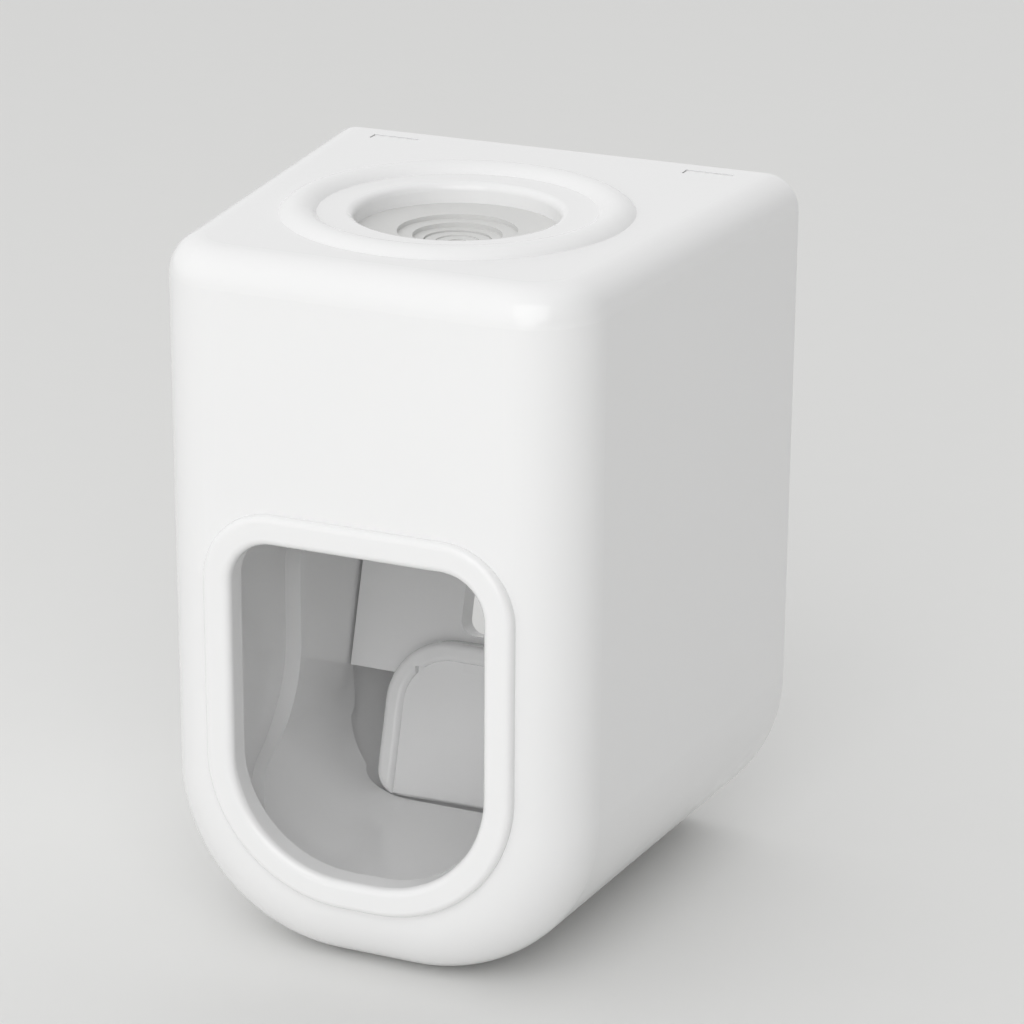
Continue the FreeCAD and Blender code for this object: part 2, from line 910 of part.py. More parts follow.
def channel(sketch, outer, bottom, top, outer_round, skin):
    """A U-shaped section of even skin with rounded lower corners."""
    inner = outer - skin
    inner_round = outer_round - skin
    level = outer - outer_round
    lower_start = bottom + outer_round
    path(sketch, [
        ((-outer, top),),
        ((-outer, lower_start), outer_round, False),
        ((-level, bottom),),
        ((level, bottom), outer_round, False),
        ((outer, lower_start),),
        ((outer, top),),
        ((inner, top),),
        ((inner, lower_start), inner_round, True),
        ((level, bottom + skin),),
        ((-level, bottom + skin), inner_round, True),
        ((-inner, lower_start),),
        ((-inner, top),),
    ])


def make_brush_chute():
    """The double-skinned guide round the lever, its inner skin swept in an S at the front."""
    body = new_body("brush_chute")
    section = sketch_on(body, "chute_section", "XZ_Plane", plate_inner)
    channel(section, chute_outer, skin_bottom, chute_top, s.chute_round, s.chute_thickness)
    pad(body, section, s.chute_front - plate_inner)
    cut_front_sweep(body)

    notch = sketch_on(body, "lever_notch", "YZ_Plane")
    toe = s.toe_lap - toe_setback
    outline(notch, [
        (s.overrun, ZERO),
        (toe, ZERO),
        (toe, s.notch_bend_low, s.notch_round),
        (-s.notch_front, s.notch_bend_high, s.notch_round),
        (-s.notch_front, s.notch_top),
        (s.overrun, s.notch_top),
    ])
    pocket(body, notch, (chute_outer + s.overrun) * 2, both_ways=True)

    liner = sketch_on(body, "liner_section", "XZ_Plane", plate_inner)
    channel(
        liner, liner_outer, liner_bottom, chute_top + s.liner_rise,
        s.liner_round, s.liner_thickness,
    )
    pad(body, liner, s.liner_front - plate_inner)
    add_chute_tabs(body)
    add_stop_ribs(body)
    return body


def cut_front_sweep(body):
    """Cut the inner skin's front edge to two joined arcs."""
    sweep = sketch_on(body, "front_sweep", "YZ_Plane")
    sweep_bottom = skin_bottom
    sweep_top = skin_bottom + (chute_top - skin_bottom) * SWEEP_TOP_SHARE
    lateral = (s.chute_front - s.cheek_front) / 2
    upright = (sweep_top - sweep_bottom) / 2
    sweep_round = (lateral * lateral + upright * upright) / (lateral * 2)
    middle_y = -s.chute_front + lateral
    middle_z = sweep_bottom + upright
    above = chute_top + s.overrun
    ahead = -s.chute_front - s.overrun
    path(sweep, [
        ((ahead, sweep_bottom),),
        ((-s.chute_front, sweep_bottom), sweep_round, True),
        ((middle_y, middle_z), sweep_round, False),
        ((-s.cheek_front, sweep_top),),
        ((-s.cheek_front, chute_top - s.chute_top_round), s.chute_top_round, True),
        ((-s.cheek_front + s.chute_top_round, chute_top),),
        ((-s.cheek_front + s.chute_top_round, above),),
        ((ahead, above),),
    ])
    pocket(body, sweep, (chute_outer + s.overrun) * 2, both_ways=True)


def add_chute_tabs(body):
    """Two screw tabs, and room in the liner for the housing's bosses."""
    tabs = sketch_on(body, "chute_tabs", "XZ_Plane", plate_inner)
    tab_end = boss_x + s.screw_radius + s.screw_gap + s.chute_thickness / 2
    for side in (1, -1):
        outline(tabs, box_corners(
            (chute_outer - s.chute_thickness / 2) * side, tab_end * side,
            boss_height - s.tab_height / 2, boss_height + s.tab_height / 2,
        ))
    pad(body, tabs, s.tab_thickness)
    holes = sketch_on(body, "chute_tab_holes", "XZ_Plane", plate_inner)
    circles(holes, plate_screw_places(), s.screw_radius + s.screw_gap)
    pocket(body, holes, (s.tab_thickness + s.overrun) * 2, both_ways=True)
    room = sketch_on(body, "boss_room", "XZ_Plane", plate_inner + s.tab_thickness)
    circles(room, plate_screw_places(), s.boss_radius + s.boss_gap)
    pocket(body, room, s.boss_length + s.boss_gap, reverse=True)


def add_stop_ribs(body):
    """Two ribs inside the cheeks that the lever's panel rests against."""
    panel_face = s.lever_offset - s.panel_height
    tilt_cosine = cosine(s.lever_tilt)
    hang = s.stop_rib_drop * sine(s.lever_tilt) / tilt_cosine
    bottom = pivot_height - s.stop_rib_drop
    back = s.pivot_setback - panel_face / tilt_cosine + hang + s.stop_rib_gap
    ribs = sketch_on(body, "stop_ribs", "XZ_Plane", back)
    for side in (1, -1):
        outline(ribs, box_corners(
            (chute_half - s.stop_rib_reach) * side, (chute_half + s.chute_thickness / 2) * side,
            bottom, bottom + s.stop_rib_height,
        ))
    pad(body, ribs, s.stop_rib_thickness)


# Pump stack on the mouth's axis


def turned(label, *profiles):
    """A body turned about the mouth's axis from closed outlines of x and z."""
    body = new_body(label)
    sketch = sketch_on(body, f"{label}_section", "XZ_Plane", s.mouth_setback)
    for profile in profiles:
        outline(sketch, profile)
    revolve(body, sketch)
    return body


def cross_slit(body, label, rise, length, reach):
    """Two crossed slits through a soft disc or tip."""
    sketch = sketch_on(body, label, "XY_Plane", rise)
    half = s.slit_width / 2
    axis_y = -s.mouth_setback
    outline(sketch, [
        (-reach, axis_y - half), (-half, axis_y - half), (-half, axis_y - reach),
        (half, axis_y - reach), (half, axis_y - half), (reach, axis_y - half),
        (reach, axis_y + half), (half, axis_y + half), (half, axis_y + reach),
        (-half, axis_y + reach), (-half, axis_y + half), (-reach, axis_y + half),
    ])
    pocket(body, sketch, length, both_ways=True)


def make_tube_seal():
    """The silicone disc that grips the tube's neck."""
    return turned("tube_seal", [
        (s.seal_bore, seal_bottom),
        (s.seal_radius, seal_bottom),
        (s.seal_radius, seal_top),
        (s.seal_outer_step, seal_top),
        (s.seal_outer_step, seal_top - s.seal_step),
        (s.seal_inner_step, seal_top - s.seal_step),
        (s.seal_inner_step, seal_top - s.seal_step * 2),
        (s.seal_bore, seal_top - s.seal_step * 2),
    ])


def make_inlet_collar():
    """The ring that clamps the seal and carries the sleeve's upper end."""
    bore = s.spigot_radius - s.spigot_wall
    seat_radius = s.valve_flange_radius + s.valve_gap
    seat = seal_bottom - s.valve_flange
    body = turned("inlet_collar", [
        (bore, inlet_spigot_end),
        (s.spigot_radius, inlet_spigot_end),
        (s.spigot_radius, collar_bottom),
        (s.collar_radius, collar_bottom),
        (s.collar_radius, seal_bottom),
        (seat_radius, seal_bottom),
        (seat_radius, seat),
        (bore, seat),
    ])
    holes = sketch_on(body, "collar_screw_holes", "XY_Plane", seal_bottom)
    circles(holes, collar_screw_places(), s.screw_radius + s.screw_gap)
    pocket(body, holes, (s.collar_thickness + s.overrun) * 2, both_ways=True)
    return body


def make_inlet_valve():
    """A soft cone with a slit tip that lets paste down and not back."""
    bore = s.spigot_radius - s.spigot_wall
    cone_radius = bore - s.valve_gap
    flange_bottom = seal_bottom - s.valve_flange
    tip = flange_bottom - s.valve_length
    body = turned("inlet_valve", [
        (ZERO, tip),
        (s.valve_tip_radius, tip),
        (cone_radius, flange_bottom),
        (s.valve_flange_radius, flange_bottom),
        (s.valve_flange_radius, seal_bottom),
        (cone_radius - s.valve_skin, seal_bottom),
        (s.valve_tip_radius - s.valve_skin / 2, tip + s.valve_skin),
        (ZERO, tip + s.valve_skin),
    ])
    cross_slit(body, "inlet_slit", tip, s.valve_skin * 4, s.valve_tip_radius / 2)
    return body


def make_squeeze_sleeve():
    """The silicone sleeve that the lever squeezes."""
    return turned("squeeze_sleeve", box_corners(
        s.spigot_radius, sleeve_radius, sleeve_bottom, sleeve_top,
    ))


def make_sleeve_rings():
    """Two rings that hold the sleeve's ends on their spigots."""
    outer = sleeve_radius + s.clamp_skin
    low = sleeve_bottom + s.clamp_inset
    high = sleeve_top - s.clamp_inset
    return turned(
        "sleeve_rings",
        box_corners(sleeve_radius, outer, low, low + s.clamp_height),
        box_corners(sleeve_radius, outer, high - s.clamp_height, high),
    )


def make_nozzle():
    """The lower spigot, its flange on the shelf and the outlet below."""
    bore = s.outlet_radius - s.outlet_wall
    return turned("nozzle", [
        (bore, outlet_end),
        (s.outlet_radius, outlet_end),
        (s.outlet_radius, shelf_height),
        (s.nozzle_flange_radius, shelf_height),
        (s.nozzle_flange_radius, nozzle_flange_top),
        (s.spigot_radius, nozzle_flange_top),
        (s.spigot_radius, nozzle_flange_top + s.nozzle_spigot_length),
        (s.spigot_radius - s.spigot_wall, nozzle_flange_top + s.nozzle_spigot_length),
        (bore, nozzle_flange_top),
    ])


def make_outlet_valve():
    """The soft disc with a cross slit that stops the paste from dripping."""
    body = turned("outlet_valve", box_corners(
        ZERO, s.outlet_radius, outlet_valve_bottom, outlet_end,
    ))
    cross_slit(
        body, "outlet_slit", outlet_end, s.outlet_valve_thickness * 4,
        s.cap_hole * SLIT_REACH_SHARE,
    )
    return body


def make_outlet_cap():
    """The cap that holds the outlet's disc."""
    floor = outlet_valve_bottom - s.cap_floor
    rim = shelf_underside - s.cap_gap
    outer = s.outlet_radius + s.cap_wall
    return turned("outlet_cap", [
        (s.cap_hole, floor),
        (outer, floor),
        (outer, rim),
        (s.outlet_radius, rim),
        (s.outlet_radius, outlet_valve_bottom),
        (s.cap_hole, outlet_valve_bottom),
    ])


# Pump bracket and pin


def make_pump_bracket():
    """The shelf under the nozzle, with the anvil, the pivot ears and the back flange."""
    body = new_body("pump_bracket")
    anvil_back = s.mouth_setback + sleeve_radius + s.clamp_skin + s.anvil_gap
    shelf_front = anvil_back + s.anvil_thickness
    gap_front = s.mouth_setback - s.nozzle_flange_radius
    half = s.shelf_half_width
    flange_front = plate_inner + s.flange_thickness

    shelf = sketch_on(body, "shelf", "XY_Plane", shelf_underside)
    outline(shelf, [
        (-half, -plate_inner), (-half, -shelf_front), (half, -shelf_front),
        (half, -plate_inner), (s.arm_inner, -plate_inner), (s.arm_inner, -gap_front),
        (-s.arm_inner, -gap_front), (-s.arm_inner, -plate_inner),
    ])
    pad(body, shelf, s.shelf_thickness)

    anvil = sketch_on(body, "anvil", "XZ_Plane", anvil_back)
    outline(anvil, box_corners(
        -s.anvil_half_width, s.anvil_half_width,
        shelf_height - s.shelf_thickness / 2, shelf_height + s.anvil_height,
    ))
    pad(body, anvil, s.anvil_thickness)

    flange = sketch_on(body, "back_flange", "XZ_Plane", plate_inner)
    outline(flange, box_corners(
        -half, half, shelf_height - s.flange_drop, shelf_height + s.flange_rise,
    ))
    pad(body, flange, s.flange_thickness)

    bosses = sketch_on(body, "flange_bosses", "XZ_Plane", plate_inner)
    circles(bosses, flange_screw_places(), s.flange_boss_radius)
    pad(body, bosses, s.flange_thickness + s.flange_boss_length)
    boss_holes = sketch_on(body, "flange_boss_holes", "XZ_Plane", plate_inner)
    circles(boss_holes, flange_screw_places(), s.screw_radius)
    pocket(body, boss_holes, s.screw_length, reverse=True)

    for side, label in ((1, "right_ear"), (-1, "left_ear")):
        ear = sketch_on(body, label, "YZ_Plane", s.arm_inner * side)
        circle(ear, -s.pivot_setback, pivot_height, s.ear_radius)
        pad(body, ear, s.ear_thickness, reverse=side < 0)
    pin_holes = sketch_on(body, "pin_holes", "YZ_Plane")
    circle(pin_holes, -s.pivot_setback, pivot_height, s.pin_radius)
    pocket(body, pin_holes, (half + s.overrun) * 2, both_ways=True)

    outlet = sketch_on(body, "outlet_hole", "XY_Plane", shelf_underside)
    circle(outlet, ZERO, -s.mouth_setback, s.outlet_radius + s.cap_gap)
    pocket(body, outlet, (s.shelf_thickness + s.overrun) * 2, both_ways=True)
    return body


def make_pivot_pin():
    """The steel pin that the lever turns on."""
    pin = doc.addObject("Part::Cylinder", "pivot_pin")
    pin.Label = "pivot_pin"
    half = s.arm_inner + s.ear_thickness + s.pin_overhang
    bind(pin, "Radius", s.pin_radius)
    bind(pin, "Height", half * 2)
    pin.Placement.Rotation = FreeCAD.Rotation(FreeCAD.Vector(0, 1, 0), 90)
    bind(pin, "Placement.Base.x", -half)
    bind(pin, "Placement.Base.y", -s.pivot_setback - wall_face)
    bind(pin, "Placement.Base.z", pivot_height - hang_height)
    return pin


# Lever, drawn upright about its pivot and then tilted forward


def make_push_lever():
    """The rocking lever: push pad below the pivot, press bar above it."""
    body = new_body("push_lever")
    front = s.lever_offset
    low_half = push_pad_half + s.push_pad_margin
    plate = sketch_on(body, "lever_plate", "XZ_Plane", -lever_back)
    outline(plate, box_corners(
        -low_half, low_half, -lever_bottom, -panel_bottom + s.lever_thickness,
        s.push_pad_low_round, None,
    ))
    pad(body, plate, s.lever_thickness)
    panel = sketch_on(body, "lever_panel", "XZ_Plane", -lever_back)
    outline(panel, box_corners(-lever_half, lever_half, -panel_bottom, -s.lever_top))
    pad(body, panel, s.lever_thickness + s.panel_height)

    neck = sketch_on(body, "lever_neck", "XZ_Plane", -lever_back)
    outline(neck, box_corners(-hub_half, hub_half, -s.lever_top - s.lever_thickness, ZERO))
    pad(body, neck, s.lever_thickness)
    web = sketch_on(body, "lever_web", "XY_Plane")
    outline(web, box_corners(-hub_half, hub_half, ZERO, lever_back))
    pad(body, web, s.web_thickness, reverse=True)
    hub = sketch_on(body, "lever_hub", "YZ_Plane")
    circle(hub, ZERO, ZERO, s.hub_radius)
    pad(body, hub, hub_half * 2, both_ways=True)

    add_push_pad(body)
    add_press_bar(body)

    hole = sketch_on(body, "lever_hole", "XZ_Plane", -front)
    outline(hole, box_corners(
        -s.lever_hole_width / 2, s.lever_hole_width / 2,
        -lever_bottom * HOLE_BOTTOM_SHARE, -lever_bottom * HOLE_TOP_SHARE,
        s.lever_hole_round, s.lever_hole_round,
    ))
    pocket(body, hole, (s.push_pad_height + s.overrun) * 2, both_ways=True)
    bore = sketch_on(body, "hub_bore", "YZ_Plane")
    circle(bore, ZERO, ZERO, s.pin_radius + s.pin_running_gap)
    pocket(body, bore, (hub_half + s.overrun) * 2, both_ways=True)

    forward = FreeCAD.Rotation(FreeCAD.Vector(-1, 0, 0), s.lever_tilt.value)
    body.Placement = FreeCAD.Placement(FreeCAD.Vector(), forward)
    bind(body, "Placement.Rotation.Angle", s.lever_tilt)
    bind(body, "Placement.Base.y", -s.pivot_setback - wall_face)
    bind(body, "Placement.Base.z", pivot_height - hang_height)
    return body


def add_push_pad(body):
    """The raised pad that the brush pushes, a tray open below with a round rim and a dished floor."""
    half = push_pad_half
    face = push_pad_face
    raised = sketch_on(body, "push_pad", "XZ_Plane", -face)
    outline(raised, box_corners(
        -half, half, -lever_bottom, -push_pad_top, s.push_pad_low_round, s.push_pad_round,
    ))
    pad(body, raised, s.push_pad_height + s.lever_thickness / 2, reverse=True)

    tray_half = half - s.tray_rim
    tray_top = push_pad_top + s.tray_rim
    tray = sketch_on(body, "push_pad_tray", "XZ_Plane", -face)
    outline(tray, box_corners(
        -tray_half, tray_half, -lever_bottom - s.overrun, -tray_top,
        None, s.push_pad_round - s.tray_rim,
    ))
    pocket(body, tray, s.tray_depth)
    round_edges(
        body, "push_pad_edge", s.push_pad_edge_round,
        edges_where(body, lambda p: near(p.y, face.value)),
    )

    half_dish = tray_half - s.dish_inset
    dish_top = tray_top + s.dish_inset
    floor = face + s.tray_depth
    dish_round = (half_dish * half_dish + s.dish_depth * s.dish_depth) / (s.dish_depth * 2)
    dish = sketch_on(body, "push_pad_dish", "XY_Plane", -dish_top)
    path(dish, [
        ((-half_dish, floor), dish_round, True),
        ((half_dish, floor),),
        ((half_dish, floor - s.tray_depth),),
        ((-half_dish, floor - s.tray_depth),),
    ])
    pocket(body, dish, lever_bottom - dish_top + s.overrun)


def add_press_bar(body):
    """The bar above the pivot, with the round nose that squeezes the sleeve."""
    tilt_sine = sine(s.lever_tilt)
    tilt_cosine = cosine(s.lever_tilt)
    ahead = s.mouth_setback - s.pivot_setback - sleeve_radius - s.nose_gap - s.nose_radius
    rise = s.housing_height - s.nose_drop - pivot_height
    nose_y = -ahead * tilt_cosine - rise * tilt_sine
    nose_z = rise * tilt_cosine - ahead * tilt_sine
    reach = root(nose_y * nose_y + nose_z * nose_z)
    across_y = nose_z / reach * s.bar_thickness / 2
    across_z = nose_y / reach * s.bar_thickness / 2
    bar = sketch_on(body, "press_bar", "YZ_Plane")
    outline(bar, [
        (across_y, -across_z),
        (-across_y, across_z),
        (nose_y - across_y, nose_z + across_z),
        (nose_y + across_y, nose_z - across_z),
    ])
    pad(body, bar, s.bar_width, both_ways=True)
    nose = sketch_on(body, "press_nose", "YZ_Plane")
    circle(nose, nose_y, nose_z, s.nose_radius)
    pad(body, nose, s.bar_width, both_ways=True)


# Return spring


def make_return_spring():
    """An open coil between the back plate and the lever, leaning half as far as the lever."""
    tilt = math.radians(s.lever_tilt.value)
    lean = tilt / 2
    drop = pivot_height.value - s.spring_height.value
    lever_face = s.pivot_setback.value - lever_back.value / math.cos(tilt) + drop * math.tan(tilt)
    wire = s.spring_wire.value / 2
    edge_loss = (s.spring_radius.value + wire) * math.tan(lean)
    start = wire + s.spring_seat_gap.value + edge_loss
    room = (lever_face - plate_inner.value) / math.cos(lean)
    length = room - 2 * start

    def on_coil(turn):
        angle = 2 * math.pi * turn
        radius = s.spring_radius.value
        travel = start + length * turn / SPRING_TURNS
        return FreeCAD.Vector(radius * math.cos(angle), -travel, radius * math.sin(angle))

    arcs = []
    for number in range(SPRING_TURNS * ARCS_PER_TURN):
        ends = (number / ARCS_PER_TURN, (number + 0.5) / ARCS_PER_TURN, (number + 1) / ARCS_PER_TURN)
        arcs.append(Part.Arc(*(on_coil(turn) for turn in ends)).toShape())
    spine = Part.Wire(arcs)
    tangent = arcs[0].tangentAt(arcs[0].FirstParameter)
    ring = Part.Wire([Part.makeCircle(wire, on_coil(0), tangent)])
    shell = Part.BRepOffsetAPI.MakePipeShell(spine)
    shell.add(ring)
    shell.build()
    shell.makeSolid()
    least_gap = length / SPRING_TURNS - s.spring_wire.value
    print(f"return_spring: least gap between turns {least_gap:.2f} mm")

    spring = doc.addObject("Part::Feature", "return_spring")
    spring.Label = "return_spring"
    spring.Shape = shell.shape()
    rear = FreeCAD.Vector(
        0,
        -plate_inner.value - wall_face.value,
        s.spring_height.value - hang_height.value,
    )
    turn = FreeCAD.Rotation(FreeCAD.Vector(1, 0, 0), -math.degrees(lean))
    spring.Placement = FreeCAD.Placement(rear, turn)
    return spring


# Screws


def make_screws(label, role, places, head_start, length):
    """Pan-head screws of one size as a group, heads at one level, with a cross recess."""
    body = new_body(label)
    heads = sketch_on(body, f"{label}_heads", role, head_start)
    circles(heads, places, s.head_radius)
    pad(body, heads, s.head_height)
    shanks = sketch_on(body, f"{label}_shanks", role, head_start + s.head_height)
    circles(shanks, places, s.screw_radius)
    pad(body, shanks, length)
    crosses = sketch_on(body, f"{label}_crosses", role, head_start)
    half = s.cross_width / 2
    reach = s.head_radius * CROSS_REACH_SHARE
    for x, y in places:
        outline(crosses, [
            (x - reach, y - half), (x - half, y - half), (x - half, y - reach),
            (x + half, y - reach), (x + half, y - half), (x + reach, y - half),
            (x + reach, y + half), (x + half, y + half), (x + half, y + reach),
            (x - half, y + reach), (x - half, y + half), (x - reach, y + half),
        ])
    pocket(body, crosses, s.cross_depth, reverse=True)
    return body


def make_all():
    """Every piece of the dispenser, from the wall to the lever."""
    return [
        make_wall_bracket(),
        make_adhesive_pad(),
        make_housing(),
        make_back_plate(),
        make_brush_chute(),
        make_tube_seal(),
        make_inlet_collar(),
        make_inlet_valve(),
        make_squeeze_sleeve(),
        make_sleeve_rings(),
        make_nozzle(),
        make_outlet_valve(),
        make_outlet_cap(),
        make_pump_bracket(),
        make_pivot_pin(),
        make_push_lever(),
        make_return_spring(),
        make_screws(
            "plate_screws", "XZ_Plane", plate_screw_places(), s.recess_extra, s.screw_length,
        ),
        make_screws(
            "bracket_screws", "XZ_Plane", flange_screw_places(), s.recess_extra, s.screw_length,
        ),
        make_screws(
            "collar_screws", "XY_Plane", collar_screw_places(),
            collar_bottom - s.head_height, collar_screw_length,
        ),
    ]


pieces = make_all()
doc.recompute()
for item in doc.Objects:
    if "Invalid" in item.State or "Error" in item.State:
        raise RuntimeError(f"{item.Label} failed: {item.State}")
for piece in pieces:
    if piece.Shape.isNull() or not piece.Shape.isValid():
        raise RuntimeError(f"{piece.Label} has no valid shape")

os.makedirs("parts", exist_ok=True)
for piece in pieces:
    piece.Shape.exportStep(f"parts/{piece.Label}.step")
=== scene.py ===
"""Wall toothpaste dispenser: finishes, soft pieces, small moulded faces, light and camera."""

import json
import math

import bpy
from mathutils import Euler, Matrix, Vector


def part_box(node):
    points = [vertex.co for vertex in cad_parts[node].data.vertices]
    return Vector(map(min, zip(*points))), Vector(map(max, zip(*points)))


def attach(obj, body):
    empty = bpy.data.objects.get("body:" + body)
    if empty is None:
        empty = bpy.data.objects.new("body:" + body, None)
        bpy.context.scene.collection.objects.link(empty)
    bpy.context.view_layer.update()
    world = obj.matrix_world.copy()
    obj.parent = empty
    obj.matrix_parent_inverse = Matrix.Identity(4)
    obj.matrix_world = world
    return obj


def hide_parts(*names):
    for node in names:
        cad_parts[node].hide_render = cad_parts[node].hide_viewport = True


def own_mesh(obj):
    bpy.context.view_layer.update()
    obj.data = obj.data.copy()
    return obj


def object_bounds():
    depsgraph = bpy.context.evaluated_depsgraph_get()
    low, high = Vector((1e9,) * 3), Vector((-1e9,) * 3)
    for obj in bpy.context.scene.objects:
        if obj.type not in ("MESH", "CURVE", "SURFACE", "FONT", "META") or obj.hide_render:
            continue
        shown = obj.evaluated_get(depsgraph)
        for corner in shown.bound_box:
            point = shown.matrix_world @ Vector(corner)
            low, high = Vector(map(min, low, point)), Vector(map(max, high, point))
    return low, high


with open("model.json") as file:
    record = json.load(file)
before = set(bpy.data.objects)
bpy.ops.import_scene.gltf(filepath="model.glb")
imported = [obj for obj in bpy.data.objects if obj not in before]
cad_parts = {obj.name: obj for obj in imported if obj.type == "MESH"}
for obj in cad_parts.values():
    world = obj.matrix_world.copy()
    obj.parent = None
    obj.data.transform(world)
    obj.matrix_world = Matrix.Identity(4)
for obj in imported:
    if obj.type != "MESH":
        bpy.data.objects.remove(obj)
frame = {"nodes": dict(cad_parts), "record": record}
cad_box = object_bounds()
nodes = frame["nodes"]

MM = 0.001

# Camera, fitted to the photograph
CAMERA_PLACE = Vector((160.5, -393.3, 135.4)) * MM
CAMERA_TARGET = Vector((6.30, -31.5, -8.73)) * MM
CAMERA_ROLL = math.radians(0.35)
CAMERA_LENS = 130.6
CAMERA_NEAR = 0.01
SENSOR_WIDTH = 36.0

# Stage and light
FLOOR_WIDTH = 6.0
FLOOR_COLOUR = (0.78, 0.78, 0.77)
FLOOR_SHADE_SPREAD = 0.01
FLOOR_ROUGHNESS = 0.7
SKY_LEVEL = 0.875
SKY_RIGHT_SHARE = 0.26
SKY_FALL_START = 0.2
SKY_FALL_END = 0.8
LAMPS = {
    "front_softbox": {"place": (0.35, -1.10, 0.85), "width": 1.20, "watts": 6.5},
    "low_softbox": {"place": (0.30, -1.35, 0.02), "width": 0.60, "watts": 1.6},
}

# Detail of the moulded plastic
FLOW_SCALE = 22.0
FLOW_DETAIL = 2.0
MARK_SCALE = 90.0
MARK_DETAIL = 5.0
PEEL_DETAIL = 1.0
PEEL_STRENGTH = 0.5
PLASTIC_IOR = 1.52

# Detail of the silicone and the foam tape
CLOUD_SCALE = 160.0
CLOUD_DETAIL = 3.0
PIT_STRENGTH = 0.4
SILICONE_IOR = 1.42

# Detail of the drawn steel
LINE_STRETCH = (300.0, 4000.0, 4000.0)
LINE_SCALE = 1.0
LINE_DETAIL = 3.0
LINE_DEPTH = 0.01 * MM
LINE_STRENGTH = 0.4
STEEL_COLOUR = (0.66, 0.66, 0.67)
STEEL_ROUGHNESS = 0.28
STEEL_ROUGHNESS_SPREAD = 0.22

# Modelling
SMOOTH_ANGLE = math.radians(40)
CORNER_ANGLE = math.radians(50)
MERGE_DISTANCE = 0.001 * MM
BEAD_SEGMENTS = 3
UPWARD = 0.5

# Squeeze sleeve
SLEEVE_SKIN = 1.6 * MM
SLEEVE_SIDES = 96
SLEEVE_BEAD = 0.35 * MM
CUFF_CLEARANCE = 0.3 * MM

# Push pad's dished face, in the lever's own frame at its pivot
PIVOT = Vector((0.0, -17.5, -9.0)) * MM
LEVER_TILT = math.radians(16.7)
DISH_HALF = 11.0 * MM
DISH_TOP = -23.8 * MM
DISH_BOTTOM = -40.5 * MM
DISH_FRONT = 2.6 * MM
DISH_BACK = 4.3 * MM
DISH_DEPTH = 0.7 * MM
DISH_ROUND = 5.7 * MM
DISH_ROUND_SEGMENTS = 16
DISH_BEAD = 0.1 * MM
DISH_SIDES = 512

# Stepped membrane in the tube seal
MEMBRANE_GAP = 0.4 * MM
MEMBRANE_SKIN = 0.6 * MM
MEMBRANE_SIDES = 96
MEMBRANE_SLACK = 0.05 * MM
MEMBRANE_RINGS = 2
MEMBRANE_RING = 1.3 * MM
MEMBRANE_STEP = 0.12 * MM
SEAL_BORE = 3.8 * MM

# Return spring
SPRING_FOOT = Vector((0.0, -5.5, -45.5)) * MM
SPRING_LEAN = math.radians(8.35)
SPRING_TURNS = 4
SPRING_RADIUS = 4.0 * MM
SPRING_START = 1.338 * MM
SPRING_LENGTH = 11.868 * MM
SPRING_WIRE = 0.7 * MM
SPRING_STEPS = 48
SPRING_SIDES = 16


# Shader helpers


def add_node(tree, kind, **settings):
    """A new node with its settings made."""
    node = tree.nodes.new(kind)
    for name, value in settings.items():
        setattr(node, name, value)
    return node


def feed(tree, source, target):
    """Joins an output socket to an input socket."""
    tree.links.new(source, target)


def new_group(name, inputs, outputs):
    """An empty node group with its sockets, and its two end nodes."""
    group = bpy.data.node_groups.new(name, "ShaderNodeTree")
    for label, kind, value in inputs:
        socket = group.interface.new_socket(name=label, in_out="INPUT", socket_type=kind)
        if value is not None:
            socket.default_value = value
    for label, kind in outputs:
        group.interface.new_socket(name=label, in_out="OUTPUT", socket_type=kind)
    return group, add_node(group, "NodeGroupInput"), add_node(group, "NodeGroupOutput")


def noise(tree, place, scale, detail):
    """A noise texture on given coordinates, its scale a number or a socket."""
    texture = add_node(tree, "ShaderNodeTexNoise")
    texture.inputs["Detail"].default_value = detail
    if isinstance(scale, (int, float)):
        texture.inputs["Scale"].default_value = scale
    else:
        feed(tree, scale, texture.inputs["Scale"])
    feed(tree, place, texture.inputs["Vector"])
    return texture.outputs["Fac"]


def combine(tree, operation, first, second):
    """One sum of two values, each a number or a socket."""
    node = add_node(tree, "ShaderNodeMath", operation=operation)
    for socket, value in zip(node.inputs, (first, second)):
        if isinstance(value, (int, float)):
            socket.default_value = value
        else:
            feed(tree, value, socket)
    return node.outputs["Value"]


def spread_about(tree, value, middle, spread):
    """A texture value turned into middle, plus or minus half of spread."""
    centred = combine(tree, "SUBTRACT", value, 0.5)
    return combine(tree, "ADD", combine(tree, "MULTIPLY", centred, spread), middle)


def tinted(tree, colour, level):
    """A colour scaled by a value."""
    node = add_node(tree, "ShaderNodeVectorMath", operation="SCALE")
    feed(tree, colour, node.inputs[0])
    feed(tree, level, node.inputs["Scale"])
    return node.outputs["Vector"]


# Shared effects


